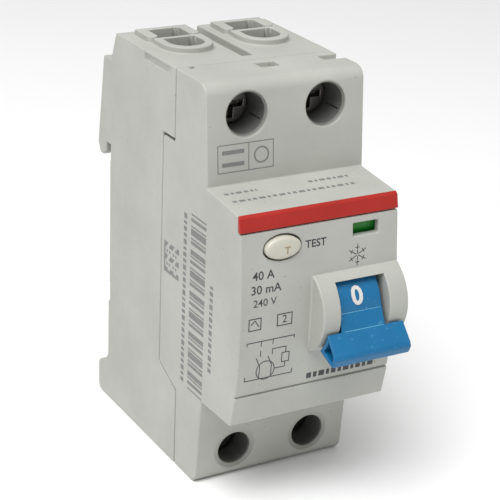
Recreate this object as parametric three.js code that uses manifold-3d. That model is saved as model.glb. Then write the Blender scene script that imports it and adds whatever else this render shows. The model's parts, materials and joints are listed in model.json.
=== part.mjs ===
// Two-pole residual current device for a 35 mm mounting rail, as an assembly of separate pieces.
// Millimetres, +Z up. The origin is the middle of the face that sits on the rail.
// +X is to the right of someone facing the device, and the front points along -Y.
import * as THREE from 'three';
import { mergeVertices } from 'three/addons/utils/BufferGeometryUtils.js';
import Module from 'manifold-3d';

const wasm = await Module();
wasm.setup();

// ---- Driving dimensions ----

// Housing: two modules wide, with the standard 45 mm nose between two terminal shoulders.
const MODULE = 17.5;
const HALF_WIDTH = MODULE;
const HALF_HEIGHT = 42.5;
const SIDE_WALL = 1.8;
const INNER_HALF_WIDTH = HALF_WIDTH - SIDE_WALL;
const GAP = 0.3;
const REACH = 80;
const SHOULDER_FRONT = -43.9;
const SHOULDER_EDGE = -42.45;
const NOSE_TOP = 22.5;
const NOSE_BOTTOM = -22.9;
const NOSE_EDGE = -57.4;
const NOSE_BULGE = 1.0;
const GROOVE_Z = -15.7;
const CAVITY_HALF_HEIGHT = 29.5;
const CAVITY_BACK = -2.8;

// Seam between the cover and the case, in three steps down the side.
const SEAM_TOP = -30.0;
const SEAM_MIDDLE = -25.0;
const SEAM_BOTTOM = -32.8;
const SEAM_STEP_Z = 27.6;
const SEAM_SLOT = 0.6;
const SEAM_RAMP = [-22.2, -25.5];

// Rail: seat at y = 0, hook over the upper flange, clip behind the lower one.
const SEAT_HALF_HEIGHT = 14.1;
const SEAT_RELIEF = 0.2;
const RAIL_HALF_HEIGHT = 17.6;
const HOOK_TIP_Z = 14.3;
const HOOK_THROAT = 2.2;
const HOOK_BACK = 6.3;
const HOOK_TOP = 36.3;
const LOWER_BACK = 0.7;
const FOOT_BACK = 5.6;
const FOOT_Z = -34.8;

// Terminals: one per pole at the top and at the bottom.
const POLE_X = MODULE / 2;
const POLES = [['left', -POLE_X], ['right', POLE_X]];
const ENDS = [['top', 1], ['bottom', -1]];
const TERMINAL_Z = 36;
const CHAMBER = { halfWidth: 6.25, low: 31.3, high: 40.7, back: -4.2, front: -32.6 };
const SCREW_TUBE = { radius: 4.2, upperMouth: 4.45, upperStep: -42.2, lowerMouth: 3.65, lowerStep: -36.6 };
const TUBE_GROOVE = { x: 3.7, depth: 0.8, z: -1.88, halfWidth: 0.17, front: -41.3, back: -36.8 };
const SCREW = { headRadius: 3.75, headFront: -36, headBack: -33, shankRadius: 2.5, tip: -22.5 };
const CAGE = { halfWidth: 5, halfHeight: 4.2, front: -26.0, back: -4.6, windowHalfWidth: 3.8 };
const CAGE_CABLE_WINDOW = [-22.3, -13.6];
const CAGE_BUSBAR_WINDOW = [-12.4, -6.0];
const TONGUE = { halfWidth: 3, thickness: 0.8, cableY: -21.7, busbarY: -12.1, tip: 40, riser: 28.2 };
const CABLE_HOLE = { halfWidth: 3.7, back: -13.9, straight: -17.0, front: -20.6 };
const CABLE_RIM = { halfWidth: 5.4, back: -13.0, straight: -17.0, front: -22.5, height: 1.3 };
const BUSBAR_HOLE = { halfWidth: 3.5, front: -12.0, back: -6.4 };
const ENTRY_SLIT = { offset: 2.3, width: 0.5, depth: 0.5 };
const TOP_PAD = { radius: 1.15, front: -12.0, back: -4.9, height: 1.2 };

// Operating lever and the round surround that it swings in.
const LEVER_AXIS = [-54.5, -0.5];
const SURROUND_RADIUS = 8.95;
const SURROUND_BORE = 7.9;
const SURROUND_LEFT = -1.85;
const LEVER_WINDOW = { left: 2.1, right: 13.2, low: -6.6, high: 6.2 };
const DRUM = { radius: 7.6, left: 2.5, right: 12.1 };
const CRANK = { radius: 5, degrees: -22.5 };
const LEVER_PIN_RADIUS = 1.5;
const HANDLE = { left: -1.1, right: 16.4, wall: 0.8 };

// Contacts: the moving arms stand upright when closed and lean forward by this angle when open.
const CARRIER_AXIS = [-26, 6];
const CONTACT_OPENING = THREE.MathUtils.degToRad(12);
const CONTACT_Z = 19;

// Other centres and sizes.
const BUTTON = { x: -8.5, z: 14.3, halfWidth: 3.9, halfHeight: 2.25, front: -58.6, back: -52.0 };
const STRIP = { low: 17.9, top: 21.4, back: -56.2 };
const FLAG = { axisY: -50.6, z: 15.2, radius: 5.2, left: 5.9, right: 14.3 };
const FLAG_WINDOW = { left: 7.2, right: 13.0, low: 13.9, high: 16.5 };
const CLIP = { halfWidth: 6.0, top: -17.9, bottom: -42.2, front: -1.0, back: 0.4 };
const TOROID = { y: -13, z: -13, outer: 9.1, inner: 5.4, halfHeight: 4.2, skin: 0.5 };
const RELAY = { left: -13.8, right: -2.5, front: -40, back: -27, low: -28, high: -15.5 };
const TRIP_AXIS = [-38, -11.5];

// ---- Materials ----

function finish(color, roughness, metalness = 0) {
  return new THREE.MeshStandardMaterial({ color, roughness, metalness });
}

const housingPlastic = finish(0xc9c9c2, 0.55);
const redPlastic = finish(0xb3241f, 0.45);
const bluePlastic = finish(0x1c6fae, 0.4);
const creamPlastic = finish(0xe6e2d2, 0.4);
const greenPlastic = finish(0x1d7a2b, 0.45);
const clipPlastic = finish(0xb9b9b2, 0.6);
const darkPlastic = finish(0x2c2c2e, 0.6);
const steel = finish(0x9fa3a6, 0.35, 1);
const springSteel = finish(0x8a8d90, 0.3, 1);
const brass = finish(0xb79a55, 0.35, 1);
const copper = finish(0xb66a45, 0.35, 1);
const ferrite = finish(0x3b3b40, 0.7);
const enamelWire = finish(0x9c4a22, 0.4);
const boardGreen = finish(0x1f5a36, 0.6);
const redSleeve = finish(0x8d2f2a, 0.5);

// ---- Solid helpers ----

function toSolid(geometry) {
  const bare = geometry.clone();
  bare.deleteAttribute('normal');
  bare.deleteAttribute('uv');
  const merged = mergeVertices(bare, 1e-5);
  const vertProperties = new Float32Array(merged.attributes.position.array);
  const triVerts = new Uint32Array(merged.index.array);
  return new wasm.Manifold(new wasm.Mesh({ numProp: 3, vertProperties, triVerts }));
}

function toGeometry(solid) {
  const mesh = solid.getMesh();
  const geometry = new THREE.BufferGeometry();
  geometry.setAttribute('position', new THREE.BufferAttribute(new Float32Array(mesh.vertProperties), 3));
  geometry.setIndex(new THREE.BufferAttribute(new Uint32Array(mesh.triVerts), 1));
  return geometry;
}

function join(...geometries) {
  return toGeometry(geometries.map(toSolid).reduce((whole, next) => whole.add(next)));
}

function cut(base, ...tools) {
  return toGeometry(tools.map(toSolid).reduce((whole, next) => whole.subtract(next), toSolid(base)));
}

function box(x0, x1, y0, y1, z0, z1) {
  const geometry = new THREE.BoxGeometry(Math.abs(x1 - x0), Math.abs(y1 - y0), Math.abs(z1 - z0));
  return geometry.translate((x0 + x1) / 2, (y0 + y1) / 2, (z0 + z1) / 2);
}

function extrude(points, depth) {
  const shape = new THREE.Shape(points.map(([u, v]) => new THREE.Vector2(u, v)));
  return new THREE.ExtrudeGeometry(shape, { depth, bevelEnabled: false });
}

// A (y, z) outline swept along X.
function sweepX(points, x0, x1) {
  const turn = new THREE.Matrix4().makeBasis(
    new THREE.Vector3(0, 1, 0),
    new THREE.Vector3(0, 0, 1),
    new THREE.Vector3(1, 0, 0),
  );
  return extrude(points, x1 - x0).applyMatrix4(turn).translate(x0, 0, 0);
}

// An (x, z) outline swept along Y.
function sweepY(points, y0, y1) {
  return extrude(points, y1 - y0).rotateX(Math.PI / 2).translate(0, y1, 0);
}

// An (x, y) outline swept along Z.
function sweepZ(points, z0, z1) {
  return extrude(points, z1 - z0).translate(0, 0, z0);
}

function arc(u, v, radius, fromDegrees, toDegrees, steps) {
  return Array.from({ length: steps + 1 }, (_, i) => {
    const angle = THREE.MathUtils.degToRad(fromDegrees + ((toDegrees - fromDegrees) * i) / steps);
    return [u + radius * Math.cos(angle), v + radius * Math.sin(angle)];
  });
}

function circle(u, v, radius, sides) {
  return arc(u, v, radius, 0, 360, sides).slice(0, -1);
}

function ellipse(u, v, halfU, halfV, sides) {
  return circle(0, 0, 1, sides).map(([a, b]) => [u + a * halfU, v + b * halfV]);
}

// A round rod that follows a smooth path through the given points.
function rod(points, radius, sides, steps) {
  const path = new THREE.CatmullRomCurve3(points.map((p) => new THREE.Vector3(...p)));
  const shape = new THREE.Shape(circle(0, 0, radius, sides).map(([u, v]) => new THREE.Vector2(u, v)));
  return new THREE.ExtrudeGeometry(shape, { steps, bevelEnabled: false, extrudePath: path });
}

// A coil spring along Z from z0 to z1, round the vertical line through (x, y).
function coilZ(x, y, z0, z1, radius, wire, turns) {
  const stepsPerTurn = 10;
  const points = Array.from({ length: turns * stepsPerTurn + 1 }, (_, i) => {
    const angle = (2 * Math.PI * i) / stepsPerTurn;
    const rise = wire + ((z1 - z0 - 2 * wire) * i) / (turns * stepsPerTurn);
    return [x + radius * Math.cos(angle), y + radius * Math.sin(angle), z0 + rise];
  });
  return rod(points, wire, 5, turns * stepsPerTurn);
}

function part(name, geometry, material) {
  const mesh = new THREE.Mesh(geometry, material);
  mesh.name = name;
  return mesh;
}

// Mirrors a (y, z) outline top to bottom, keeping it for the upper end.
function forEnd(points, side) {
  return points.map(([y, z]) => [y, side * z]);
}

// ---- Housing ----

// Bulged front of the nose, from its top edge down to the groove.
function noseFront() {
  const steps = 10;
  return Array.from({ length: steps + 1 }, (_, i) => {
    const t = i / steps;
    const z = STRIP.low + (GROOVE_Z - STRIP.low) * t;
    return [NOSE_EDGE - 0.3 * t - NOSE_BULGE * 4 * t * (1 - t), z];
  });
}

function coverOutline() {
  return [
    [SEAM_TOP, HALF_HEIGHT],
    ...arc(SHOULDER_EDGE + 2.5, HALF_HEIGHT - 2.5, 2.5, 90, 175, 5),
    [SHOULDER_FRONT, NOSE_TOP],
    [-56.2, STRIP.top],
    [-56.2, STRIP.low],
    ...noseFront(),
    [-57.65, GROOVE_Z - 0.8],
    ...arc(-55.7, -21.7, 0.8, 190, 265, 3),
    [SHOULDER_FRONT, NOSE_BOTTOM],
    ...arc(SHOULDER_EDGE + 2.0, -HALF_HEIGHT + 2.0, 2.0, 185, 270, 4),
    [SEAM_BOTTOM, -HALF_HEIGHT],
    [SEAM_BOTTOM, SEAM_RAMP[1]],
    [SEAM_MIDDLE, SEAM_RAMP[0]],
    [SEAM_MIDDLE, SEAM_STEP_Z],
    [SEAM_TOP, SEAM_STEP_Z],
  ].reverse();
}

// Hollow behind the nose and between the terminal partitions.
function coverHollow() {
  const outline = [
    [-20, CAVITY_HALF_HEIGHT],
    [-42.1, CAVITY_HALF_HEIGHT],
    [-42.1, 20.6],
    [-55.6, 19.8],
    [-55.6, 17.3],
    [-56.2, 17.3],
    [-56.7, 0],
    [-55.9, -20.4],
    [-42.1, -21.1],
    [-42.1, -CAVITY_HALF_HEIGHT],
    [-20, -CAVITY_HALF_HEIGHT],
  ].reverse();
  return sweepX(outline, -INNER_HALF_WIDTH, INNER_HALF_WIDTH);
}

function surround() {
  const [y, z] = LEVER_AXIS;
  return sweepX(circle(y, z, SURROUND_RADIUS, 56), SURROUND_LEFT, HALF_WIDTH);
}

function surroundBore() {
  const [y, z] = LEVER_AXIS;
  return sweepX(circle(y, z, SURROUND_BORE, 48), LEVER_WINDOW.left, LEVER_WINDOW.right);
}

function pinBoss(x0, x1) {
  const [y, z] = LEVER_AXIS;
  return cut(box(x0, x1, -57, y + 3.2, z - 3.2, z + 3.2), sweepX(circle(y, z, 1.8, 20), x0 - 1, x1 + 1));
}

// Tubes in front of the terminal screws, stepped near the mouth. The lower mouths are narrower
// than the screw head.
function screwTubes() {
  const { radius, upperMouth, upperStep, lowerMouth, lowerStep } = SCREW_TUBE;
  const back = CHAMBER.front + 1;
  const bore = (x, z, size, y0, y1) => sweepY(circle(x, z, size, 32), y0, y1);
  return POLES.flatMap(([, x]) => [
    bore(x, TERMINAL_Z, upperMouth, -REACH, upperStep),
    bore(x, TERMINAL_Z, radius, upperStep - 1, back),
    bore(x, -TERMINAL_Z, lowerMouth, -REACH, lowerStep + 1),
    bore(x, -TERMINAL_Z, radius, lowerStep, back),
  ]);
}

// Narrow groove along the right wall of each upper tube.
function tubeGrooves() {
  const { depth, halfWidth, front, back } = TUBE_GROOVE;
  const z = TERMINAL_Z + TUBE_GROOVE.z;
  return POLES.map(([, poleX]) => {
    const x = poleX + TUBE_GROOVE.x;
    return box(x, x + depth, front, back, z - halfWidth, z + halfWidth);
  });
}

function upperChamberFronts() {
  const { halfWidth, low, high, front } = CHAMBER;
  return POLES.map(([, x]) => box(x - halfWidth, x + halfWidth, front, -20, low, high));
}

// Recesses in the cover's top face over the case's snap tabs: [left, right, front, rear, depth].
const SNAP_WINDOWS = [
  [-1.7, 2.5, -35.4, -32.1, 1.3],
  [12.6, HALF_WIDTH + 1, -35.4, -32.1, 1.3],
  [-15.0, -13.9, -31.3, SEAM_TOP + 1, 0.6],
];

// Each floor slopes down towards the case.
function snapWindows() {
  const above = HALF_HEIGHT + 1;
  return SNAP_WINDOWS.map(([x0, x1, front, rear, depth]) => {
    const frontFloor = HALF_HEIGHT - 0.3 * depth;
    const rearFloor = HALF_HEIGHT - depth;
    return sweepX([[rear, above], [front, above], [front, frontFloor], [rear, rearFloor]], x0, x1);
  });
}

// Small deep holes at the right end of the middle recess.
function snapTabHoles() {
  const spans = [[-33.0, -32.1], [-35.4, -34.7]];
  return spans.map(([y0, y1]) => box(1.8, 2.5, y0, y1, HALF_HEIGHT - 2.4, HALF_HEIGHT));
}

function frontCover() {
  const { left, right, low, high } = LEVER_WINDOW;
  const flag = FLAG_WINDOW;
  const buttonHole = ellipse(BUTTON.x, BUTTON.z, BUTTON.halfWidth + 0.35, BUTTON.halfHeight + 0.35, 36);
  const shell = cut(
    join(sweepX(coverOutline(), -HALF_WIDTH, HALF_WIDTH), surround()),
    coverHollow(),
    surroundBore(),
    ...screwTubes(),
    ...tubeGrooves(),
    ...upperChamberFronts(),
    ...snapWindows(),
    ...snapTabHoles(),
    box(left, right, -REACH, LEVER_AXIS[0], low, high),
    box(flag.left, flag.right, -REACH, -50, flag.low, flag.high),
    sweepY(buttonHole, -REACH, -50),
    box(-REACH, REACH, -REACH, -57.25, GROOVE_Z - 0.2, GROOVE_Z + 0.2),
  );
  return join(shell, pinBoss(0.9, 2.1), pinBoss(15.0, INNER_HALF_WIDTH + 0.5));
}

function rearOutline() {
  const ramp = SEAM_RAMP;
  return [
    [SEAM_TOP + GAP, HALF_HEIGHT],
    [SEAM_TOP + GAP, SEAM_STEP_Z + SEAM_SLOT],
    [SEAM_MIDDLE + GAP, SEAM_STEP_Z + SEAM_SLOT],
    [SEAM_MIDDLE + GAP, ramp[0] - 0.1],
    [SEAM_BOTTOM + GAP, ramp[1] - GAP],
    [SEAM_BOTTOM + GAP, -HALF_HEIGHT],
    ...arc(FOOT_BACK - 1.5, -HALF_HEIGHT + 1.5, 1.5, 270, 360, 3),
    ...arc(FOOT_BACK - 1.6, FOOT_Z - 1.6, 1.6, 0, 60, 3),
    [LOWER_BACK + 1.4, FOOT_Z + 0.9],
    [LOWER_BACK, FOOT_Z + 3],
    [LOWER_BACK, -19.0],
    [-SEAT_RELIEF, -RAIL_HALF_HEIGHT - 0.4],
    [-SEAT_RELIEF, -SEAT_HALF_HEIGHT],
    [0, -SEAT_HALF_HEIGHT],
    [0, SEAT_HALF_HEIGHT - 0.1],
    [-SEAT_RELIEF, SEAT_HALF_HEIGHT - 0.1],
    [-SEAT_RELIEF, RAIL_HALF_HEIGHT],
    [HOOK_THROAT, RAIL_HALF_HEIGHT],
    [HOOK_THROAT, HOOK_TIP_Z + 1.2],
    ...arc(4.2, HOOK_TIP_Z + 1.5, 1.5, 215, 325, 4),
    [HOOK_BACK, HOOK_TIP_Z + 2.2],
    [3.6, HOOK_TOP],
    [-0.4, HOOK_TOP],
    [-0.4, 37.3],
    [-2.4, HALF_HEIGHT],
  ];
}

function caseHollow() {
  const { halfWidth, low, high, back } = CHAMBER;
  const reach = CAVITY_HALF_HEIGHT;
  const middle = box(-INNER_HALF_WIDTH, INNER_HALF_WIDTH, -REACH, CAVITY_BACK, -reach, reach);
  const chambers = POLES.flatMap(([, x]) => ENDS.map(([, side]) => (
    box(x - halfWidth, x + halfWidth, -REACH, back, side * low, side * high)
  )));
  return [middle, ...chambers];
}

// D shape with a straight back edge and a rounded front, round a pole's centre line.
function dOutline(x, { halfWidth, back, straight, front }) {
  const front180 = arc(0, 0, 1, 180, 360, 12).map(([u, v]) => (
    [x + u * halfWidth, straight + v * (straight - front)]
  ));
  return [[x + halfWidth, back], [x - halfWidth, back], ...front180];
}

function tongueSlots(x, side) {
  const half = TONGUE.halfWidth + 0.4;
  return [TONGUE.cableY, TONGUE.busbarY].map((y) => (
    box(x - half, x + half, y - GAP, y + TONGUE.thickness + GAP, side * 28, side * 32)
  ));
}

function terminalOpenings() {
  const bar = BUSBAR_HOLE;
  return POLES.flatMap(([, x]) => ENDS.flatMap(([, side]) => {
    const z = [side * (CHAMBER.high - 1), side * (HALF_HEIGHT + 3)].sort((a, b) => a - b);
    return [
      sweepZ(dOutline(x, CABLE_HOLE), z[0], z[1]),
      box(x - bar.halfWidth, x + bar.halfWidth, bar.front, bar.back, z[0], z[1]),
      ...tongueSlots(x, side),
    ];
  }));
}

// Vertical slits at the back of the upper entries, right of each pole's middle.
function entrySlits() {
  const { offset, width, depth } = ENTRY_SLIT;
  const top = HALF_HEIGHT + CABLE_RIM.height;
  return POLES.flatMap(([, x]) => [CABLE_HOLE.back, BUSBAR_HOLE.back].map((back) => (
    box(x + offset, x + offset + width, back - 0.2, back + depth, CHAMBER.high, top + 1)
  )));
}

// Round-ended pad on the top face, flat on top and square at the back.
function topPad(x) {
  const { radius, front, back } = TOP_PAD;
  const outline = [[x + radius, back], [x - radius, back], ...arc(x, front + radius, radius, 180, 360, 10)];
  return sweepZ(outline, HALF_HEIGHT - 0.6, HALF_HEIGHT + TOP_PAD.height);
}

// Raised D round each upper cable entry, and a pad on each side of the busbar entry with a wall behind.
function topRims() {
  const base = HALF_HEIGHT - 0.6;
  const wall = BUSBAR_HOLE.halfWidth + TOP_PAD.radius;
  return POLES.flatMap(([, x]) => [
    sweepZ(dOutline(x, CABLE_RIM), base, HALF_HEIGHT + CABLE_RIM.height),
    box(x - wall, x + wall, BUSBAR_HOLE.back, TOP_PAD.back, base, HALF_HEIGHT + TOP_PAD.height),
    topPad(x - wall),
    topPad(x + wall),
  ]);
}

function dividerSlots() {
  return ENDS.flatMap(([, side]) => [
    box(-1.25, 1.25, -25.3, 8, side * (HALF_HEIGHT - 2.2), side * (HALF_HEIGHT + 1)),
    box(-1.25, 1.25, -26.7, -25, side * (HALF_HEIGHT - 0.8), side * (HALF_HEIGHT + 1)),
  ]);
}

function clipChannel() {
  const half = CLIP.halfWidth + GAP;
  return [
    box(-half, half, CLIP.front - GAP, 12, -REACH, -16.5),
    box(-2, 2, -2.15, 2, -34.2, -21.8),
  ];
}

// Coring of the hook's back, as moulded plastic has where it would be thick.
function hookCores() {
  return [-12, -4, 4, 12].map((x) => box(x - 3, x + 3, 1.8, 12, 20.5, 33.5));
}

function sideRecesses() {
  return [-1, 1].map((side) => (
    box(side * (HALF_WIDTH - 0.4), side * (HALF_WIDTH + 1), -27.5, -16, 40.6, 42.0)
  ));
}

function rearCase() {
  const body = join(sweepX(rearOutline(), -HALF_WIDTH, HALF_WIDTH), ...topRims());
  const shell = cut(
    body,
    ...caseHollow(),
    ...terminalOpenings(),
    ...entrySlits(),
    ...dividerSlots(),
    ...clipChannel(),
    ...hookCores(),
    ...sideRecesses(),
  );
  return join(shell, box(-1.3, 1.3, -2.4, 0.1, -31.6, -30.4));
}

function markingStrip() {
  const outline = [
    [STRIP.back + GAP - 0.35, STRIP.top + 0.05],
    [-56.9, 20.9],
    [NOSE_EDGE - 0.05, STRIP.low + GAP],
    [STRIP.back - GAP, STRIP.low + GAP],
  ];
  return sweepX(outline, -HALF_WIDTH, HALF_WIDTH);
}

// ---- Lever and flag ----

function polar([y, z], radius, degrees) {
  const angle = THREE.MathUtils.degToRad(degrees);
  return [y - radius * Math.cos(angle), z + radius * Math.sin(angle)];
}

function leverHandle() {
  const at = (radius, degrees) => polar(LEVER_AXIS, radius, degrees);
  const outer = [
    at(9.45, -45), at(9.4, -31), at(9.5, -15),
    at(13.5, -25), at(14.25, -27.5), at(14.5, -34.5), at(13.9, -37),
  ];
  const inner = [at(10.15, -38.4), at(10.2, -31), at(10.4, -20.5), at(13.0, -27.5), at(13.5, -34)];
  const blade = sweepX(outer, HANDLE.left, HANDLE.right);
  return cut(blade, sweepX(inner, HANDLE.left - 1, HANDLE.right - HANDLE.wall));
}

function lever() {
  const at = (radius, degrees) => polar(LEVER_AXIS, radius, degrees);
  const [y, z] = LEVER_AXIS;
  const ramp = [at(6, 5), at(DRUM.radius, 5), at(9.5, -15), at(9.7, -40.5)];
  const neck = sweepX([at(6, -40), ...ramp], DRUM.left, DRUM.right);
  const crank = at(-CRANK.radius, CRANK.degrees);
  const whole = join(sweepX(circle(y, z, DRUM.radius, 48), DRUM.left, DRUM.right), neck, leverHandle());
  const hollowed = cut(
    whole,
    sweepX(circle(y, z, LEVER_PIN_RADIUS + 0.3, 20), 0, 20),
    sweepX(circle(y, z, 3.2, 24), 2, 5.6),
    box(7.4, 10.1, y + 2.05, y + 12, z - 6, z + 12),
  );
  return join(hollowed, sweepX(circle(crank[0], crank[1], 0.7, 12), 7, 10.5));
}

function leverPin() {
  const [y, z] = LEVER_AXIS;
  return sweepX(circle(y, z, LEVER_PIN_RADIUS, 20), 0.6, 15.4);
}

function leverSpring() {
  const [y, z] = LEVER_AXIS;
  return coilZ(0, 0, 3.3, 5.3, 2.35, 0.22, 4).rotateY(Math.PI / 2).translate(0, y, z);
}

function toggleLink() {
  const crank = polar(LEVER_AXIS, -CRANK.radius, CRANK.degrees);
  const far = [-42.5, LEVER_AXIS[1]];
  const angle = Math.atan2(far[1] - crank[1], far[0] - crank[0]);
  const length = Math.hypot(far[1] - crank[1], far[0] - crank[0]);
  const bar = cut(
    join(
      sweepX(circle(0, 0, 1.8, 20), 8, 9.5),
      sweepX(circle(length, 0, 1.6, 16), 8, 9.5),
      box(8, 9.5, 0, length, -0.7, 0.7),
    ),
    sweepX(circle(0, 0, 1.0, 16), 7, 11),
  );
  return bar.rotateX(angle).translate(0, crank[0], crank[1]);
}

function flagIndicator() {
  const { axisY, z, radius, left, right } = FLAG;
  const axis = [axisY, z];
  const outer = Array.from({ length: 10 }, (_, i) => polar(axis, radius, -25 + (87 * i) / 9));
  const inner = Array.from({ length: 10 }, (_, i) => polar(axis, radius - 0.8, 62 - (87 * i) / 9));
  const sector = [...outer, polar(axis, 0.2, 62), polar(axis, 0.2, -25)];
  return join(
    sweepX([...outer, ...inner], left, right),
    sweepX(sector, right - 0.8, right),
    sweepX(circle(axisY, z, 1.2, 16), right - 2.5, right + 1.0),
  );
}

// ---- Test circuit ----

function testButton() {
  const { x, z, halfWidth, halfHeight, front, back } = BUTTON;
  const cap = sweepY(ellipse(x, z, halfWidth, halfHeight, 36), front, -55.0);
  const flange = sweepY(ellipse(x, z, halfWidth + 1, halfHeight + 1, 24), -55.3, -54.4);
  const stem = sweepY(circle(x, z, 1.5, 16), -55, back);
  return join(cap, flange, stem);
}

function testContactLeaf() {
  const { x, z } = BUTTON;
  return join(
    box(x - 2.2, x + 2.2, -50.2, -49.8, z - 6, z + 3),
    box(x - 2.2, x + 2.2, -50.2, -46, z - 6.4, z - 6),
  );
}

function testResistor() {
  return sweepX(circle(-43, 10, 2, 16), -13.5, -4.5);
}

// ---- Terminals ----

function terminalCage(x, side) {
  const { halfWidth, halfHeight, front, back, windowHalfWidth } = CAGE;
  const z = side * TERMINAL_Z;
  const windows = [CAGE_CABLE_WINDOW, CAGE_BUSBAR_WINDOW].map(([y0, y1]) => (
    box(x - windowHalfWidth, x + windowHalfWidth, y0, y1, z - 8, z + 8)
  ));
  const thread = sweepY(circle(x, z, SCREW.shankRadius + 0.3, 20), front - 1, CAGE_CABLE_WINDOW[0] + 1);
  const block = box(x - halfWidth, x + halfWidth, front, back, z - halfHeight, z + halfHeight);
  return cut(block, ...windows, thread);
}

function terminalScrew(x, side) {
  const z = side * TERMINAL_Z;
  const { headRadius, headFront, headBack, shankRadius, tip } = SCREW;
  const head = sweepY(circle(x, z, headRadius, 28), headFront, headBack);
  const shank = sweepY(circle(x, z, shankRadius, 20), headBack - 0.5, tip);
  return cut(
    join(head, shank),
    box(x - 2.8, x + 2.8, headFront - 1, headFront + 1.8, z - 0.6, z + 0.6),
    box(x - 0.6, x + 0.6, headFront - 1, headFront + 1.8, z - 2.8, z + 2.8),
  );
}

// Forked contact plate: two tongues in the cage's windows, joined inside the mechanism space.
function contactPlate(x, side) {
  const { halfWidth, thickness, cableY, busbarY, tip, riser } = TONGUE;
  const tail = side > 0 ? CONTACT_Z - 2 : 23;
  const outline = [
    [cableY, tail],
    [cableY + thickness, tail],
    [cableY + thickness, riser],
    [busbarY + thickness, riser],
    [busbarY + thickness, tip],
    [busbarY, tip],
    [busbarY, riser + thickness],
    [cableY + thickness, riser + thickness],
    [cableY + thickness, tip],
    [cableY, tip],
  ];
  const plate = sweepX(side > 0 ? outline : forEnd(outline, side).reverse(), x - halfWidth, x + halfWidth);
  if (side < 0) return plate;
  return join(plate, sweepY(circle(x, CONTACT_Z, 1.6, 16), -23.7, cableY + 0.2));
}

// ---- Contacts, drawn closed; the group that holds them leans by the contact opening ----

function contactCarrier() {
  const uprights = POLES.map(([, x]) => box(x - 2.8, x + 2.8, -5.2, -3.9, 0, 9.5));
  const feet = POLES.map(([, x]) => box(x - 2.8, x + 2.8, -5.2, 0, -1, 1));
  const hook = [[-13.6, -1.3], [-15.5, -2.2], [-15.5, -3.6], [-13.6, -3.8]];
  const lug = sweepX([[0, -1.5], [0, 1.5], ...hook], 10.6, 12.2);
  return join(sweepX(circle(0, 0, 2.4, 24), -14.4, 14.4), ...uprights, ...feet, lug);
}

function movingContact(x) {
  const arm = box(x - 2, x + 2, -0.6, 0.6, 2.8, 14.6);
  return join(arm, sweepY(circle(x, CONTACT_Z - CARRIER_AXIS[1], 1.6, 16), 0.4, 2.0));
}

function contactSpring(x) {
  return coilZ(0, 0, 0.7, 3.7, 1.2, 0.2, 3).rotateX(Math.PI / 2).translate(x, 0, 7);
}

function contactGroup() {
  const group = new THREE.Group();
  group.position.set(0, CARRIER_AXIS[0], CARRIER_AXIS[1]);
  group.rotation.x = CONTACT_OPENING;
  group.add(part('contact_carrier', contactCarrier(), darkPlastic));
  for (const [pole, x] of POLES) {
    group.add(part(`moving_contact_${pole}`, movingContact(x), copper));
    group.add(part(`contact_spring_${pole}`, contactSpring(x), springSteel));
  }
  return group;
}

// ---- Mechanism and tripping ----

function mechanismFrame() {
  const plates = [3.4, 13.3].map((x) => box(x, x + 0.8, -46, -34.2, -9.3, 9));
  const base = box(3.4, 14.1, -46, -34.2, -9.3, -8.5);
  return cut(join(...plates, base), box(5.5, 8.0, -41.5, -36, -12, -6));
}

function tripLever() {
  const [y, z] = TRIP_AXIS;
  return join(
    sweepX(circle(y, z, 1.2, 16), -11, 12),
    box(-11, -5, y, -31, z - 0.4, z + 0.4),
    box(6, 7.4, y - 0.6, y + 0.6, z, -4),
  );
}

function tripRelay() {
  const { left, right, front, back, low, high } = RELAY;
  return cut(
    box(left, right, front, back, low, high),
    sweepZ(circle(-8, -33, 1.3, 16), -20, 0),
    box(left - 1, left + 1, front - 1, front + 1, low - 1, high + 1),
  );
}

function relayPlunger() {
  return sweepZ(circle(-8, -33, 1.0, 16), -19.5, TRIP_AXIS[1] - 0.8);
}

function ring(outer, inner, halfHeight) {
  const low = -halfHeight;
  const profile = [[inner, low], [outer, low], [outer, halfHeight], [inner, halfHeight], [inner, low]];
  const lathe = new THREE.LatheGeometry(profile.map(([r, h]) => new THREE.Vector2(r, h)), 32);
  return lathe.rotateX(Math.PI / 2).translate(0, TOROID.y, TOROID.z);
}

function toroidCore() {
  const inset = TOROID.skin + GAP;
  return ring(TOROID.outer - inset, TOROID.inner + inset, TOROID.halfHeight - inset);
}

// Winding on the core, open over a short sector where the core shows.
function toroidWinding() {
  const { outer, inner, halfHeight, skin, y, z } = TOROID;
  const wedge = [[0, y], [-6, y - 14], [6, y - 14]];
  return cut(
    ring(outer, inner, halfHeight),
    ring(outer - skin, inner + skin, halfHeight - skin),
    sweepZ(wedge, z - 10, z + 10),
  );
}

// Insulated conductor from the moving contact's side, through the toroid, to the lower terminal.
function poleConductor(x) {
  const bend = Math.sign(x) * 2.1;
  const { y } = TOROID;
  return rod([
    [x, -20.6, 6.5], [x, -20.4, 1], [x * 0.6, -17, -3.5], [bend, y, -8], [bend, y, -13], [bend, y, -18.5],
    [x * 0.7, y - 1.5, -22.5], [x, y - 3, -25], [x, -20.6, -25.4],
  ], 1.25, 8, 34);
}

function poleBarrier() {
  return box(-0.5, 0.5, -22.8, -3.2, -2, 29.2);
}

function circuitBoard() {
  return box(-15.2, -14.2, -46, -31, -11, 18);
}

function capacitor() {
  return sweepX(circle(-38, 2, 3, 20), -13.9, -7.5);
}

// ---- Rail clip ----

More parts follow.
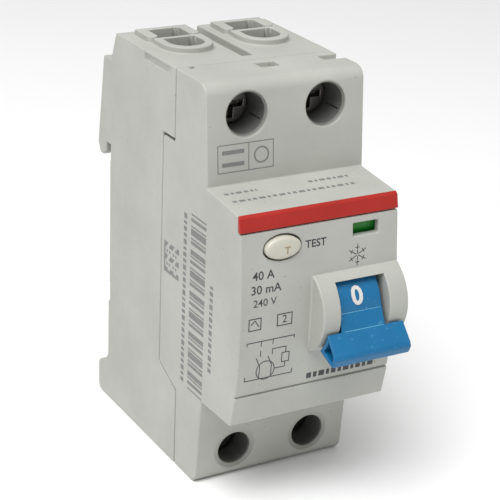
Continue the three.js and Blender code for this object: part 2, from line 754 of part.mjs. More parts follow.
function dinClip() {
  const { halfWidth, top, bottom, front, back } = CLIP;
  const lip = [
    [front, top - 2.6], [back, top - 2.6], [3.3, top - 2.2],
    [3.3, -15.2], [2.6, -14.5], [1.4, -14.5], [1.4, top], [front, top],
  ].reverse();
  const tab = [[front, bottom], [4.6, bottom], [5.3, bottom + 0.8], [5.3, -36], [back, -35], [front, -35]];
  const solid = join(
    box(-halfWidth, halfWidth, front, back, bottom, top),
    sweepX(lip, -halfWidth, halfWidth),
    sweepX(tab, -halfWidth, halfWidth),
  );
  return cut(
    solid,
    box(-1.9, 1.9, -4, 4, -33.6, -22.2),
    box(-3, 3, 1.6, 3.2, -50, -37.2),
  );
}

function dinClipSpring() {
  return coilZ(0, -0.5, -30.1, -22.5, 1.1, 0.22, 7);
}

// ---- Assembly ----

const device = new THREE.Group();
device.add(part('rear_case', rearCase(), housingPlastic));
device.add(part('front_cover', frontCover(), housingPlastic));
device.add(part('marking_strip', markingStrip(), redPlastic));
device.add(part('lever', lever(), bluePlastic));
device.add(part('lever_pin', leverPin(), steel));
device.add(part('lever_spring', leverSpring(), springSteel));
device.add(part('toggle_link', toggleLink(), steel));
device.add(part('flag_indicator', flagIndicator(), greenPlastic));
device.add(part('test_button', testButton(), creamPlastic));
device.add(part('test_contact_leaf', testContactLeaf(), brass));
device.add(part('test_resistor', testResistor(), redSleeve));
for (const [pole, x] of POLES) {
  for (const [end, side] of ENDS) {
    device.add(part(`terminal_cage_${end}_${pole}`, terminalCage(x, side), steel));
    device.add(part(`terminal_screw_${end}_${pole}`, terminalScrew(x, side), steel));
    device.add(part(`contact_plate_${end}_${pole}`, contactPlate(x, side), brass));
  }
  device.add(part(`pole_conductor_${pole}`, poleConductor(x), redSleeve));
}
device.add(contactGroup());
device.add(part('mechanism_frame', mechanismFrame(), steel));
device.add(part('trip_lever', tripLever(), darkPlastic));
device.add(part('trip_relay', tripRelay(), darkPlastic));
device.add(part('relay_plunger', relayPlunger(), steel));
device.add(part('toroid_core', toroidCore(), ferrite));
device.add(part('toroid_winding', toroidWinding(), enamelWire));
device.add(part('pole_barrier', poleBarrier(), darkPlastic));
device.add(part('circuit_board', circuitBoard(), boardGreen));
device.add(part('capacitor', capacitor(), darkPlastic));
device.add(part('din_clip', dinClip(), clipPlastic));
device.add(part('din_clip_spring', dinClipSpring(), springSteel));

export default device;
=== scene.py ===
"""Looks of a two-pole residual current device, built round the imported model.

Everything is in metres in the model's own frame: +X right, the front towards -Y, +Z up,
with the origin in the middle of the face that sits on the mounting rail.
"""
import json
import math

import bmesh
import bpy
from mathutils import Matrix, Vector
from mathutils.bvhtree import BVHTree

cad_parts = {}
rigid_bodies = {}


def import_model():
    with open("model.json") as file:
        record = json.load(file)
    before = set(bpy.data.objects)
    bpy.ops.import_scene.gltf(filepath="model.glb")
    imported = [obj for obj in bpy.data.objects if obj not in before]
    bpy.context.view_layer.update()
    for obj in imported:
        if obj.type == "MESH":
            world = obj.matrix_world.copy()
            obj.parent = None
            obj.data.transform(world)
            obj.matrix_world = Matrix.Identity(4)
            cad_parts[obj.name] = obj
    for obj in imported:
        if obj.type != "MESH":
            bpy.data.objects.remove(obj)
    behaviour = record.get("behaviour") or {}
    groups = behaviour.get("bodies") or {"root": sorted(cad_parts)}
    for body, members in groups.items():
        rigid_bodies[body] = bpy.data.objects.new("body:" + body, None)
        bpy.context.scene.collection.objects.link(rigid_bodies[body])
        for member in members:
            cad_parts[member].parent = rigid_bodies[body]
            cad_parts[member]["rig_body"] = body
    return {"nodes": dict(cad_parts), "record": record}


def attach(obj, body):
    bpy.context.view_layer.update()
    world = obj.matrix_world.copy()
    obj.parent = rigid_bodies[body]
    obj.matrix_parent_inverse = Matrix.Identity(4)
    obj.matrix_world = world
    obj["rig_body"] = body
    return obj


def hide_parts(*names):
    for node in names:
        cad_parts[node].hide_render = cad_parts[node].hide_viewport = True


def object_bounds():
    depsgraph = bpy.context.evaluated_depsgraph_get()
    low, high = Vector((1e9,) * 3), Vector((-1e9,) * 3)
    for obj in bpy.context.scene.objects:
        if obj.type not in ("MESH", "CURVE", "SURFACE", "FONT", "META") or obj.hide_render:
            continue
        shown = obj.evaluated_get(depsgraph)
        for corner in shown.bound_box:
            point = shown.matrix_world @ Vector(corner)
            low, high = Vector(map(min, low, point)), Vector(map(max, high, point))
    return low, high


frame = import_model()
CAD_LOW, CAD_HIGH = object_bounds()

MM = 0.001
SCENE = bpy.context.scene

# ---- Camera and light ----

CAMERA_AIM = Vector((4.8, -27.9, -0.6)) * MM
CAMERA_DISTANCE = 343 * MM
CAMERA_AZIMUTH = math.radians(-30.4)
CAMERA_ELEVATION = math.radians(22.46)
CAMERA_ROLL = math.radians(2.54)
CAMERA_LENS = 118.0
CAMERA_SHIFT = (-0.0256, 0.0075)
SENSOR_WIDTH = 36.0
SKY_STRENGTH = 0.5
FLOOR_REACH = 3.0
FLOOR_GAP = 0.1 * MM


def make_camera():
    data = bpy.data.cameras.new("camera")
    data.lens = CAMERA_LENS
    data.sensor_width = SENSOR_WIDTH
    data.shift_x, data.shift_y = CAMERA_SHIFT
    data.clip_start = 0.01
    data.clip_end = 20.0
    flat = math.cos(CAMERA_ELEVATION)
    east, north = math.sin(CAMERA_AZIMUTH), -math.cos(CAMERA_AZIMUTH)
    back = Vector((east * flat, north * flat, math.sin(CAMERA_ELEVATION)))
    level = Vector((math.cos(CAMERA_AZIMUTH), math.sin(CAMERA_AZIMUTH), 0))
    right = level * math.cos(CAMERA_ROLL) + back.cross(level) * math.sin(CAMERA_ROLL)
    up = back.cross(right)
    camera = bpy.data.objects.new("camera", data)
    turn = Matrix((right, up, back)).transposed().to_4x4()
    camera.matrix_world = Matrix.Translation(CAMERA_AIM + back * CAMERA_DISTANCE) @ turn
    SCENE.collection.objects.link(camera)
    SCENE.camera = camera


def area_light(name, place, aim, size, power):
    data = bpy.data.lights.new(name, "AREA")
    data.shape = "RECTANGLE"
    data.size, data.size_y = size
    data.energy = power
    lamp = bpy.data.objects.new(name, data)
    lamp.location = place
    lamp.rotation_euler = (Vector(aim) - Vector(place)).to_track_quat("-Z", "Y").to_euler()
    SCENE.collection.objects.link(lamp)


def light_studio():
    SCENE.view_settings.view_transform = "Standard"
    world = bpy.data.worlds.new("studio")
    world.use_nodes = True
    background = world.node_tree.nodes["Background"]
    background.inputs["Color"].default_value = (1.0, 1.0, 1.0, 1)
    background.inputs["Strength"].default_value = SKY_STRENGTH
    SCENE.world = world
    aim = (0, -0.03, 0)
    area_light("key_light", (-0.29, -0.25, 0.78), aim, (0.6, 0.6), 8.2)
    area_light("side_light", (-0.8, 0.1, 0.2), aim, (0.4, 0.6), 0.25)


def make_floor():
    mesh = bpy.data.meshes.new("floor")
    height = CAD_LOW.z - FLOOR_GAP
    signs = ((-1, -1), (1, -1), (1, 1), (-1, 1))
    corners = [(x * FLOOR_REACH, y * FLOOR_REACH, height) for x, y in signs]
    mesh.from_pydata(corners, [], [(0, 1, 2, 3)])
    floor = bpy.data.objects.new("floor", mesh)
    SCENE.collection.objects.link(floor)
    mesh.materials.append(floor_material())


# ---- Materials ----

class Shader:
    """A new node material, with short calls for the nodes that these finishes share."""

    def __init__(self, name):
        self.material = bpy.data.materials.new(name)
        self.material.use_nodes = True
        self.tree = self.material.node_tree
        self.surface = self.tree.nodes["Principled BSDF"]
        self.place = self.tree.nodes.new("ShaderNodeTexCoord").outputs["Object"]

    def put(self, socket, value):
        if isinstance(value, bpy.types.NodeSocket):
            self.tree.links.new(value, socket)
        else:
            socket.default_value = value

    def noise(self, scale, detail=2.0, rough=0.5):
        node = self.tree.nodes.new("ShaderNodeTexNoise")
        self.put(node.inputs["Vector"], self.place)
        node.inputs["Scale"].default_value = scale
        node.inputs["Detail"].default_value = detail
        node.inputs["Roughness"].default_value = rough
        return node.outputs["Fac"]

    def axes(self):
        node = self.tree.nodes.new("ShaderNodeSeparateXYZ")
        self.put(node.inputs[0], self.place)
        return node.outputs

    def calc(self, operation, first, second=0.0):
        node = self.tree.nodes.new("ShaderNodeMath")
        node.operation = operation
        self.put(node.inputs[0], first)
        self.put(node.inputs[1], second)
        return node.outputs[0]

    def spread(self, value, low, high, out_low, out_high):
        node = self.tree.nodes.new("ShaderNodeMapRange")
        for socket, number in zip(node.inputs[1:5], (low, high, out_low, out_high)):
            socket.default_value = number
        self.put(node.inputs[0], value)
        return node.outputs[0]

    def mix(self, factor, first, second):
        node = self.tree.nodes.new("ShaderNodeMix")
        node.data_type = "RGBA"
        self.put(node.inputs[0], factor)
        self.put(node.inputs[6], first)
        self.put(node.inputs[7], second)
        return node.outputs[2]

    def bump(self, height, strength, distance, below=None):
        node = self.tree.nodes.new("ShaderNodeBump")
        self.put(node.inputs["Height"], height)
        node.inputs["Strength"].default_value = strength
        node.inputs["Distance"].default_value = distance
        if below is not None:
            self.put(node.inputs["Normal"], below)
        return node.outputs["Normal"]


def shade(colour, factor):
    return tuple(min(1.0, c * factor) for c in colour[:3]) + (1.0,)


def plastic(name, colour, rough=(0.42, 0.56), grain=0.12, specks=0.05, tone=0.05, coat=0.0, cover=None):
    """Moulded plastic: slow tone drift, fine spark-eroded grain and a few tiny dark specks.

    cover(shader, base) may lay something over the base colour.
    """
    s = Shader(name)
    drift = s.spread(s.noise(70, 3), 0.35, 0.65, 0, 1)
    base = s.mix(drift, shade(colour, 1 - tone), shade(colour, 1 + tone))
    speck = s.spread(s.noise(1500, 1), 0.73, 0.78, 0, specks)
    base = s.mix(speck, base, shade(colour, 0.25))
    if cover is not None:
        base = cover(s, base)
    s.put(s.surface.inputs["Base Color"], base)
    s.put(s.surface.inputs["Roughness"], s.spread(s.noise(400, 4), 0.3, 0.7, *rough))
    fine = s.bump(s.noise(9000, 2), grain, 0.00004)
    s.put(s.surface.inputs["Normal"], s.bump(s.noise(900, 3), grain * 0.5, 0.00008, fine))
    s.surface.inputs["IOR"].default_value = 1.45
    s.surface.inputs["Coat Weight"].default_value = coat
    s.surface.inputs["Coat Roughness"].default_value = 0.2
    return s.material


def metal(name, colour, rough=(0.22, 0.4), streak=(40, 900, 900), tarnish=0.15):
    """Drawn or stamped metal: fine streaks along X, a little tarnish."""
    s = Shader(name)
    mapping = s.tree.nodes.new("ShaderNodeMapping")
    s.put(mapping.inputs["Vector"], s.place)
    mapping.inputs["Scale"].default_value = streak
    lines = s.tree.nodes.new("ShaderNodeTexNoise")
    s.put(lines.inputs["Vector"], mapping.outputs["Vector"])
    lines.inputs["Scale"].default_value = 4.0
    stain = s.spread(s.noise(350, 4, 0.65), 0.5, 0.75, 0, tarnish)
    s.put(s.surface.inputs["Base Color"], s.mix(stain, shade(colour, 1.0), shade(colour, 0.45)))
    s.put(s.surface.inputs["Roughness"], s.spread(lines.outputs["Fac"], 0.3, 0.7, *rough))
    s.put(s.surface.inputs["Normal"], s.bump(lines.outputs["Fac"], 0.15, 0.00003))
    s.surface.inputs["Metallic"].default_value = 1.0
    return s.material


def ink(name, colour, thin=1.6):
    """Pad-printed ink, thin in places; the lever's painted crease highlights use it too."""
    s = Shader(name)
    worn = s.spread(s.noise(2500, 2), 0.45, 0.7, 0, 0.35)
    s.put(s.surface.inputs["Base Color"], s.mix(worn, shade(colour, 1.0), shade(colour, thin)))
    s.put(s.surface.inputs["Roughness"], s.spread(s.noise(700, 2), 0.3, 0.7, 0.45, 0.6))
    s.put(s.surface.inputs["Normal"], s.bump(s.noise(5000, 2), 0.08, 0.00003))
    return s.material


def floor_material():
    s = Shader("floor_paper")
    tone = s.mix(s.noise(6, 3), (0.88, 0.88, 0.88, 1), (0.92, 0.92, 0.92, 1))
    s.put(s.surface.inputs["Base Color"], tone)
    s.surface.inputs["Roughness"].default_value = 0.9
    return s.material


SCREW_CENTRE = (8.75 * MM, 36 * MM)
TUBE_EDGE = (4.5 * MM, 4.8 * MM)
TUBE_DEPTH = (-43.3 * MM, -41.8 * MM)


def tube_painted_shade(s, base):
    """Painted shade: the cover's colour goes nearly black deep in the screw tubes, which hold hardly any
    light past their first millimetre.
    """
    x, y, z = s.axes()
    off_x = s.calc("SUBTRACT", s.calc("ABSOLUTE", x), SCREW_CENTRE[0])
    off_z = s.calc("SUBTRACT", s.calc("ABSOLUTE", z), SCREW_CENTRE[1])
    radius = s.calc("SQRT", s.calc("ADD", s.calc("MULTIPLY", off_x, off_x), s.calc("MULTIPLY", off_z, off_z)))
    inside = s.spread(radius, *TUBE_EDGE, 1, 0)
    deep = s.spread(y, *TUBE_DEPTH, 0, 0.75)
    return s.mix(s.calc("MULTIPLY", inside, deep), base, (0.03, 0.03, 0.03, 1))


FLAG_AXIS = (-50.6 * MM, 15.2 * MM)
FLAG_SPLIT = math.radians(17.5)


def flag_halves(s, base):
    """Green below the split and red above it, by the angle round the flag's axis."""
    x, y, z = s.axes()
    ahead = s.calc("SUBTRACT", FLAG_AXIS[0], y)
    above = s.calc("SUBTRACT", z, FLAG_AXIS[1])
    red = s.spread(s.calc("ARCTAN2", above, ahead), FLAG_SPLIT - 0.01, FLAG_SPLIT + 0.01, 0, 1)
    return s.mix(red, base, MARK_RED + (1,))


def sheen_and_wear_spots(s, base):
    """Tiny pale spots on a dark moulding: painted sheen standing in for light glints, together with handling
    wear.
    """
    sheen_and_wear_mask = s.spread(s.noise(1300, 3), 0.64, 0.76, 0, 0.55)
    return s.mix(sheen_and_wear_mask, base, PALE_BLUE + (1,))


HOUSING_GREY = (0.403, 0.408, 0.374)
MARK_RED = (0.36, 0.011, 0.005)
LEVER_BLUE = (0.004, 0.125, 0.285)
# Pale blue for the lever's painted sheen spots and painted crease highlights.
PALE_BLUE = (0.10, 0.33, 0.50)
BUTTON_CREAM = (0.51, 0.50, 0.425)
FLAG_GREEN = (0.006, 0.20, 0.016)

FINISH = {
    "housing": plastic("housing_plastic", HOUSING_GREY, specks=0.3),
    "marking_red": plastic(
        "marking_plastic", MARK_RED, rough=(0.45, 0.6), grain=0.2, specks=0.4, tone=0.1),
    # The lever's pale spots are partly painted sheen and partly wear.
    "lever_blue": plastic(
        "lever_plastic", LEVER_BLUE, rough=(0.34, 0.5), grain=0.15, tone=0.08, cover=sheen_and_wear_spots),
    "button_cream": plastic(
        "button_plastic", BUTTON_CREAM, rough=(0.28, 0.4), grain=0.05, tone=0.03, coat=0.15),
    "flag_green": plastic("flag_plastic", FLAG_GREEN, rough=(0.3, 0.45), grain=0.05, cover=flag_halves),
    "clip_plastic": plastic("clip_plastic", (0.34, 0.34, 0.31)),
    "mechanism_plastic": plastic("mechanism_plastic", (0.03, 0.03, 0.033)),
    "board_green": plastic("board_laminate", (0.015, 0.10, 0.04), rough=(0.3, 0.5)),
    "sleeve_red": plastic("sleeve_plastic", (0.28, 0.035, 0.03)),
    "steel": metal("plated_steel", (0.56, 0.57, 0.58)),
    "spring_steel": metal("spring_wire", (0.5, 0.5, 0.5)),
    "terminal_steel": metal("terminal_plate", (0.20, 0.19, 0.17), rough=(0.3, 0.5), tarnish=0.4),
    "brass": metal("brass_strip", (0.70, 0.50, 0.22)),
    "copper": metal("copper_strip", (0.72, 0.36, 0.22)),
    "ferrite": plastic("sintered_core", (0.05, 0.05, 0.055), rough=(0.6, 0.8), grain=0.4),
    "enamel_wire": metal("enamel_winding", (0.45, 0.14, 0.05), streak=(900, 900, 40)),
}
# The cover's finish carries painted shade inside the screw tubes.
COVER_PLASTIC = plastic("cover_plastic", HOUSING_GREY, specks=0.3, cover=tube_painted_shade)
DARK_INK = ink("dark_ink", (0.035, 0.035, 0.04))
GREY_INK = ink("grey_ink", (0.17, 0.17, 0.165))
TAN_INK = ink("tan_ink", (0.30, 0.24, 0.15))
PALE_INK = ink("pale_ink", (0.62, 0.60, 0.58), thin=0.8)
# Pale blue painted highlight for the lever's creases, drawn with the ink finish.
CREASE_HIGHLIGHT_FINISH = ink("crease_painted_highlight", PALE_BLUE)


def slot_of(node):
    rows = frame["record"]["subparts"]
    return next(row["material_slot"] for row in rows if row["node"] == node)


def dress_cad_nodes():
    for name, node in frame["nodes"].items():
        node.data.materials.clear()
        node.data.materials.append(FINISH[slot_of(name)])


# ---- Mesh work ----

def new_piece(name, mesh, body, material):
    piece = bpy.data.objects.new(name, mesh)
    SCENE.collection.objects.link(piece)
    mesh.materials.clear()
    mesh.materials.append(material)
    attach(piece, body)
    return piece


def settle(piece):
    """Applies the piece's modifiers to its mesh."""
    graph = bpy.context.evaluated_depsgraph_get()
    final = bpy.data.meshes.new_from_object(piece.evaluated_get(graph), depsgraph=graph)
    piece.modifiers.clear()
    piece.data = final


def tree_of(mesh):
    bm = bmesh.new()
    bm.from_mesh(mesh)
    tree = BVHTree.FromBMesh(bm)
    bm.free()
    return tree


EDGE_SHARE = 0.42
FLAT_JOIN = math.radians(0.6)
SHARP_EDGE = math.radians(28)
# Corners closer than this are joined, because a rounding can't follow so short an edge.
MERGE_REACH = 0.048 * MM
# Edges this close to the next moulding are rounded by JOINT_BEVEL only.
JOINT_REACH = 0.25 * MM
JOINT_BEVEL = 0.07 * MM


def nearest_on(point, a, b):
    """The point of the segment from a to b that is nearest to the given point."""
    way = b - a
    return a + way * max(0.0, min(1.0, (point - a).dot(way) / way.length_squared))


def edge_gap(first, second):
    """The distance between two edges that lie in one face and don't touch."""
    a, b = (vert.co for vert in first.verts)
    c, d = (vert.co for vert in second.verts)
    pairs = ((a, c, d), (b, c, d), (c, a, b), (d, a, b))
    return min((point - nearest_on(point, start, end)).length for point, start, end in pairs)


def room_for_bevel(edge, sharp, width):
    """The share of the bevel's width that fits before it runs over another edge of its two faces."""
    space = edge.calc_length()
    for vert in edge.verts:
        along = (edge.other_vert(vert).co - vert.co).normalized()
        for other in vert.link_edges:
            if other is edge:
                continue
            length = other.calc_length()
            if other not in sharp:
                length *= along.cross((other.other_vert(vert).co - vert.co).normalized()).length
            space = min(space, length)
    for face in edge.link_faces:
        for other in face.edges:
            if not set(other.verts) & set(edge.verts):
                space = min(space, edge_gap(edge, other))
    return min(1.0, EDGE_SHARE * space / width)


def on_joint_line(edge, neighbour):
    """True where an edge runs along the next moulding, so its rounding stays narrow."""
    middle = (edge.verts[0].co + edge.verts[1].co) / 2
    points = [vert.co for vert in edge.verts] + [middle]
    return all(neighbour.find_nearest(point)[3] < JOINT_REACH for point in points)


def finer(node, width, segments=3, sharp_degrees=32, material=None, beside=None):
    """A finished copy of a CAD node's mesh: flat faces joined up, then every sharp edge rounded."""
    source = frame["nodes"][node]
    neighbour = tree_of(frame["nodes"][beside].data) if beside else None
    bm = bmesh.new()
    bm.from_mesh(source.data)
    bmesh.ops.remove_doubles(bm, verts=bm.verts, dist=MERGE_REACH)
    bmesh.ops.dissolve_limit(bm, angle_limit=FLAT_JOIN, verts=bm.verts, edges=bm.edges)
    bm.edges.layers.float.new("bevel_weight_edge")
    weight = bm.edges.layers.float["bevel_weight_edge"]
    sharp = {e for e in bm.edges if e.is_manifold and e.calc_face_angle(0) > SHARP_EDGE}
    for edge in sharp:
        edge[weight] = room_for_bevel(edge, sharp, width)
        if neighbour and on_joint_line(edge, neighbour):
            edge[weight] = min(edge[weight], JOINT_BEVEL / width)
    mesh = bpy.data.meshes.new(node + "_finished")
    bm.to_mesh(mesh)
    bm.free()
    slot = slot_of(node)
    piece = new_piece(node + "_finished", mesh, source["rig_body"], material or FINISH[slot])
    bevel = piece.modifiers.new("rounding", "BEVEL")
    bevel.limit_method = "WEIGHT"
    bevel.width = width
    bevel.segments = segments
    bevel.use_clamp_overlap = False
    bevel.loop_slide = False
    bevel.miter_outer = "MITER_SHARP"
    settle(piece)
    piece.data.shade_smooth()
    piece.data.set_sharp_from_angle(angle=math.radians(sharp_degrees))
    piece.modifiers.new("normals", "WEIGHTED_NORMAL").keep_sharp = True
    settle(piece)
    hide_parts(node)
    return piece


# ---- Printed and raised marks ----

PRINT_LIFT = 0.015 * MM
PRINT_SINK = 0.03 * MM


def lettering(text, height, u=0.0, v=0.0, bold=0.0):
    """Flat faces of a line of plain capitals or digits, centred on (u, v)."""
    curve = bpy.data.curves.new("letters", "FONT")
    curve.body = text
    curve.size = height / 0.7
    curve.align_x = "CENTER"
    curve.align_y = "CENTER"
    curve.resolution_u = 3
    curve.offset = bold
    holder = bpy.data.objects.new("letters", curve)
    SCENE.collection.objects.link(holder)
    graph = bpy.context.evaluated_depsgraph_get()
    mesh = bpy.data.meshes.new_from_object(holder.evaluated_get(graph))
    bm = bmesh.new()
    bm.from_mesh(mesh)
    bmesh.ops.remove_doubles(bm, verts=bm.verts, dist=1e-7)
    bmesh.ops.translate(bm, verts=bm.verts, vec=(u, v, 0))
    shapes = [[tuple(vert.co.xy) for vert in face.verts] for face in bm.faces]
    bm.free()
    bpy.data.objects.remove(holder)
    bpy.data.meshes.remove(mesh)
    return shapes


def bar(u0, u1, v0, v1):
    return [(u0, v0), (u1, v0), (u1, v1), (u0, v1)]


def stroke(start, end, width):
    """A straight line of the given width, as one flat quad."""
    a, b = Vector(start), Vector(end)
    side = (b - a).normalized().orthogonal() * width / 2
    return [tuple(a - side), tuple(b - side), tuple(b + side), tuple(a + side)]


def frame_shape(u0, u1, v0, v1, width):
    return [bar(u0, u1, v0, v0 + width), bar(u0, u1, v1 - width, v1),
            bar(u0, u0 + width, v0 + width, v1 - width), bar(u1 - width, u1, v0 + width, v1 - width)]


RING_SIDES = 20


def ring_points(u, v, radius):
    steps = [2 * math.pi * i / RING_SIDES for i in range(RING_SIDES)]
    return [(u + radius * math.cos(a), v + radius * math.sin(a)) for a in steps]


def loop_shape(u, v, radius, width):
    """A thin ring, as quads."""
    outer = ring_points(u, v, radius)
    inner = ring_points(u, v, radius - width)
    pairs = [(i, (i + 1) % RING_SIDES) for i in range(RING_SIDES)]
    return [[outer[i], outer[j], inner[j], inner[i]] for i, j in pairs]


def marks(name, shapes, place, body, slot, material, lift=PRINT_LIFT, sink=PRINT_SINK):
    """Closed slabs that follow a surface. place(u, v, height) gives the point at that height over it."""
    flat = bmesh.new()
    for shape in shapes:
        flat.faces.new([flat.verts.new((u, v, 0)) for u, v in shape])
    bmesh.ops.remove_doubles(flat, verts=flat.verts, dist=1e-7)
    flat.verts.index_update()
    points = [vert.co.xy for vert in flat.verts]
    count = len(points)
    corners = [place(u, v, lift) for u, v in points] + [place(u, v, -sink) for u, v in points]
    faces = []
    for face in flat.faces:
        ring = [vert.index for vert in face.verts]
        faces += [ring, [i + count for i in reversed(ring)]]
    for edge in flat.edges:
        if len(edge.link_faces) == 1:
            a, b = (vert.index for vert in edge.verts)
            faces.append([a, b, b + count, a + count])
    flat.free()
    mesh = bpy.data.meshes.new(name)
    mesh.from_pydata(corners, [], faces)
    bm = bmesh.new()
    bm.from_mesh(mesh)
    bmesh.ops.recalc_face_normals(bm, faces=bm.faces)
    bm.to_mesh(mesh)
    bm.free()
    return new_piece(name, mesh, body, material)


def print_marks(name, shapes, place, material=DARK_INK):
    return marks(name, shapes, place, "housing", "mechanism_plastic", material)


def on_front(tree):
    """(x, z) on whatever faces the front."""
    def place(x, z, height):
        hit = tree.ray_cast(Vector((x, CAD_LOW.y - 1 * MM, z)), Vector((0, 1, 0)))[0]
        return Vector((x, hit.y - height, z))
    return place


def on_left(tree):
    """(-y, z) on the left side."""
    def place(u, z, height):
        hit = tree.ray_cast(Vector((CAD_LOW.x - 1 * MM, -u, z)), Vector((1, 0, 0)))[0]
        return Vector((hit.x - height, -u, z))
    return place


def on_top(tree):
    """(x, y) on whatever faces up in front of the shoulder."""
    def place(x, y, height):
        hit = tree.ray_cast(Vector((x, y, 30 * MM)), Vector((0, 0, -1)))[0]
        return Vector((x, y, hit.z + height))
    return place


# The lever's neck, in millimetres: its sides along X, and the heights of its two ends.
NECK_SIDES = (2.9, 11.7)
NECK_ENDS = (0.1, -3.0)
CREASE_HIGHLIGHT_WIDTH = 0.1
LEVER_AXIS = Vector((0, -54.5, -0.5)) * MM
DRUM_RADIUS = 7.6 * MM


def on_drum(degrees):
    """(x, distance round the drum) from the given angle above the front direction."""
    def place(x, v, height):
        angle = math.radians(degrees) + v / DRUM_RADIUS
        radius = DRUM_RADIUS + height
        y, z = LEVER_AXIS.y - radius * math.cos(angle), LEVER_AXIS.z + radius * math.sin(angle)
        return Vector((x, y, z))
    return place


def scaled(shapes):
    return [[(u * MM, v * MM) for u, v in shape] for shape in shapes]


def dashes(u0, u1, v, lengths, height, gap):
    """A row of short bars, standing for a line of small print."""
    row, u, step = [], u0, 0
    while u < u1:
        length = min(lengths[step % len(lengths)], u1 - u)
        row.append(bar(u, u + length, v - height / 2, v + height / 2))
        u += length + gap
        step += 1
    return row


# Plain ratings: text, height, centre along X and Z, and extra weight, in millimetres.
RATING_LINES = (
    ("40 A", 1.7, -12.6, 9.4, 0.03),
    ("30 mA", 1.7, -12.0, 6.6, 0.03),
    ("240 V", 1.5, -12.2, 3.9, 0.01),
)
BOX_LINE = 0.22
CODE_BARS = (1.1, 0.8, 1.3, 0.7)


def print_front(tree):
    place = on_front(tree)
    print_marks("print_test", lettering("TEST", 1.5 * MM, -1.2 * MM, 14.0 * MM, 0.04 * MM), place)
    ratings = []
    for text, height, x, z, bold in RATING_LINES:
        ratings += lettering(text, height * MM, x * MM, z * MM, bold * MM)
    ratings += scaled(frame_shape(-15.6, -12.8, -1.6, 1.0, BOX_LINE))
    ratings += scaled([stroke((-15.1, -0.3), (-14.2, 0.5), 0.2), stroke((-14.2, 0.5), (-13.3, -0.9), 0.2)])
    ratings += scaled(frame_shape(-9.4, -6.0, -1.6, 1.0, BOX_LINE))
    ratings += lettering("2", 1.6 * MM, -7.7 * MM, -0.3 * MM)
    print_marks("print_ratings", ratings, place)
    print_marks("print_schematic", scaled(schematic()), place)
    print_marks("print_star", scaled(star(8.2, 10.2, 2.2)), place)
    print_marks("print_code_line", scaled(dashes(-1.7, 14.3, -14.0, CODE_BARS, 1.2, 0.45)), place)
    print_marks("print_shoulder_marks", scaled(shoulder_marks()), place, GREY_INK)


def schematic():
    """Two switched lines through a ring, with a small box at the side: a plain wiring sketch."""
    low, high, width = -12.4, -4.0, 0.2
    shapes = frame_shape(-15.8, -5.2, low, high, width)
    for x in (-12.6, -10.0):
        shapes += [stroke((x, low), (x, -9.6), width), stroke((x, -9.6), (x - 0.9, -7.6), width)]
        shapes += [stroke((x, -7.4), (x, high), width)]
    shapes += loop_shape(-11.3, -10.6, 2.1, 0.2)
    shapes += frame_shape(-7.9, -6.1, -9.6, -7.4, width)
    shapes += [stroke((-9.2, -10.6), (-7.0, -10.6), width), stroke((-7.0, -10.6), (-7.0, -9.6), width)]
    shapes += [stroke((-7.0, -7.4), (-7.0, -6.2), width), stroke((-7.0, -6.2), (-10.0, -6.2), width)]
    return shapes


STAR_LINE = 0.17


def star(u, v, radius):
    """Six plain spokes, each with a short cross bar."""
    shapes = []
    centre = Vector((u, v))
    for step in range(6):
        angle = math.radians(30 + 60 * step)
        way = Vector((math.cos(angle), math.sin(angle)))
        side = Vector((-math.sin(angle), math.cos(angle)))
        shapes.append(stroke(centre + way * 0.1 * radius, centre + way * radius, STAR_LINE))
        middle = centre + way * 0.68 * radius
        arm = side * 0.22 * radius
        shapes.append(stroke(middle - arm, middle + arm, STAR_LINE))
    return shapes


def shoulder_marks():
    shapes = frame_shape(-15.2, -2.9, 25.0, 30.6, 0.2) + [bar(-8.5, -8.3, 25.2, 30.4)]
    shapes += [bar(-14.2, -9.4, v, v + 0.8) for v in (26.2, 28.6)] + loop_shape(-5.6, 27.8, 1.7, 0.35)
    return shapes


def print_side(tree):
    """Generic bars and squares where a device of this kind carries its codes."""
    place = on_left(tree)
    bars, z, step = [], -22.6, 0
    widths = (0.35, 0.7, 0.35, 1.05, 0.7, 0.35, 1.4)
    while z < 15.5:
        width = widths[step % len(widths)]
        bars.append(bar(37.9, 44.2, z, z + width))
        z += width + widths[(step + 3) % len(widths)] * 0.8
        step += 1
    print_marks("side_bars", scaled(bars), place, GREY_INK)
    print_marks("side_squares", scaled(square_field()), place, GREY_INK)
    rows = dashes_upright(35.5, -22.0, 15.0, 1.3) + dashes_upright(47.0, -15.0, 4.0, 1.3)
    print_marks("side_rows", scaled(rows), place, GREY_INK)


CELL = 0.55
CELLS = 12
FIELD_CORNER = (26.4, -0.9)


def square_field():
    """A field of small squares in a made-up pattern, with two solid sides."""
    cells = [(i, j) for i in range(CELLS) for j in range(CELLS)
             if i == 0 or j == 0 or (i * i + 3 * i * j + j) % 5 < 2]
    u, v = FIELD_CORNER
    return [bar(u + CELL * i, u + CELL * (i + 1), v + CELL * j, v + CELL * (j + 1)) for i, j in cells]


def dashes_upright(u, low, high, height):
    """A column of short bars, standing for a line of small print that reads upwards."""
    turned = dashes(low, high, u, (0.9, 0.6, 1.1, 0.7), height, 0.55)
    return [[(v, w) for w, v in shape] for shape in turned]


def print_nose_top(tree):
    place = on_top(tree)
    short_bars = (0.9, 0.6, 1.2)
    rows = dashes(-15.5, -8.5, -47.2, short_bars, 0.8, 0.5) + dashes(3.0, 12.0, -47.2, short_bars, 0.8, 0.5)
    rows += dashes(-15.5, 12.0, -50.6, (0.8, 1.3, 0.6), 0.8, 0.55)
    print_marks("nose_top_rows", scaled(rows), place, GREY_INK)


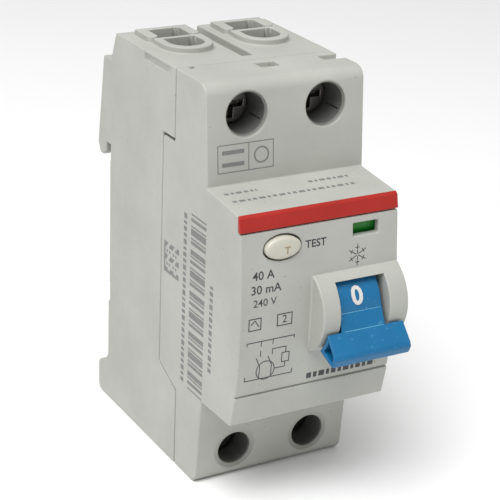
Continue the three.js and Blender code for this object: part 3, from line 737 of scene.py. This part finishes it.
def lever_marks():
    relief = dict(lift=0.14 * MM, sink=0.1 * MM)
    zero = lettering("0", 3.6 * MM, 6.7 * MM, 0, 0.14 * MM)
    one = lettering("I", 3.6 * MM, 6.7 * MM, 0, 0.14 * MM)
    marks("lever_zero", zero, on_drum(27), "operating_lever", "button_cream", PALE_INK, **relief)
    marks("lever_one", one, on_drum(-68), "operating_lever", "button_cream", PALE_INK, **relief)


def lever_crease_highlights(tree):
    """Painted highlights: pale lines where the neck leaves the drum and where it meets the handle."""
    lines = [bar(NECK_SIDES[0], NECK_SIDES[1], z, z + CREASE_HIGHLIGHT_WIDTH) for z in NECK_ENDS]
    marks("lever_crease_highlights", scaled(lines), on_front(tree), "operating_lever", "lever_blue", CREASE_HIGHLIGHT_FINISH)


# ---- Test button ----

BUTTON_CENTRE = (-8.5, 14.3)
BUTTON_HALF = (3.9, 2.25)
# Rings from the stem's end to the middle of the dish: how far in from the oval's edge, and y.
BUTTON_RINGS = [(0.0, -55.3), (0.0, -57.9), (0.06, -58.15), (0.2, -58.35), (0.45, -58.5), (0.8, -58.58),
                (1.2, -58.6), (1.7, -58.6)]
BUTTON_SIDES = 64
STEM_RADIUS = 1.5
STEM_ENDS = (-52, -54.4)
FLANGE_ENDS = (-54.4, -55.3)
FLANGE_REACH = 1.0


def oval_ring(wide, high, y):
    steps = [2 * math.pi * i / BUTTON_SIDES for i in range(BUTTON_SIDES)]
    x, z = BUTTON_CENTRE
    return [Vector((x + wide * math.cos(a), y, z + high * math.sin(a))) * MM for a in steps]


def button_ring(inset, y):
    return oval_ring(BUTTON_HALF[0] - inset, BUTTON_HALF[1] - inset, y)


def lathe_of_rings(rings):
    """A closed mesh through rings of equal count, capped flat at both ends."""
    bm = bmesh.new()
    loops = [[bm.verts.new(p) for p in ring] for ring in rings]
    for first, second in zip(loops, loops[1:]):
        for i in range(len(first)):
            j = (i + 1) % len(first)
            bm.faces.new((first[i], first[j], second[j], second[i]))
    bm.faces.new(loops[0])
    bm.faces.new(loops[-1])
    bmesh.ops.recalc_face_normals(bm, faces=bm.faces)
    return bm


def test_button():
    x, z = BUTTON_CENTRE
    stem = [oval_ring(STEM_RADIUS, STEM_RADIUS, y) for y in STEM_ENDS]
    flange = [button_ring(-FLANGE_REACH, y) for y in FLANGE_ENDS]
    bm = lathe_of_rings(stem + flange + [button_ring(inset, y) for inset, y in BUTTON_RINGS])
    mesh = bpy.data.meshes.new("test_button_finished")
    bm.to_mesh(mesh)
    bm.free()
    mesh.shade_smooth()
    mesh.set_sharp_from_angle(angle=math.radians(40))
    piece = new_piece("test_button_finished", mesh, "button", FINISH["button_cream"])
    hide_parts("test_button")
    letter = lettering("T", 1.5 * MM, (x + 0.7) * MM, (z - 0.5) * MM, 0.04 * MM)
    marks("button_letter", letter, on_front(tree_of(piece.data)), "button", "mechanism_plastic", TAN_INK)


# ---- Assembly ----

make_camera()
light_studio()
make_floor()
dress_cad_nodes()

cover = finer("front_cover", 0.35 * MM, material=COVER_PLASTIC, beside="rear_case")
finer("rear_case", 0.3 * MM, beside="front_cover")
lever = finer("lever", 0.4 * MM, segments=6, sharp_degrees=20)
finer("marking_strip", 0.15 * MM)
finer("din_clip", 0.3 * MM)
finer("flag_indicator", 0.15 * MM)
for end in ("top", "bottom"):
    for side in ("left", "right"):
        finer(f"terminal_screw_{end}_{side}", 0.2 * MM)
        finer(f"terminal_cage_{end}_{side}", 0.25 * MM)

test_button()
cover_tree = tree_of(cover.data)
print_front(cover_tree)
print_side(cover_tree)
print_nose_top(cover_tree)
lever_marks()
# Painted highlights along the lever's creases.
lever_crease_highlights(tree_of(lever.data))
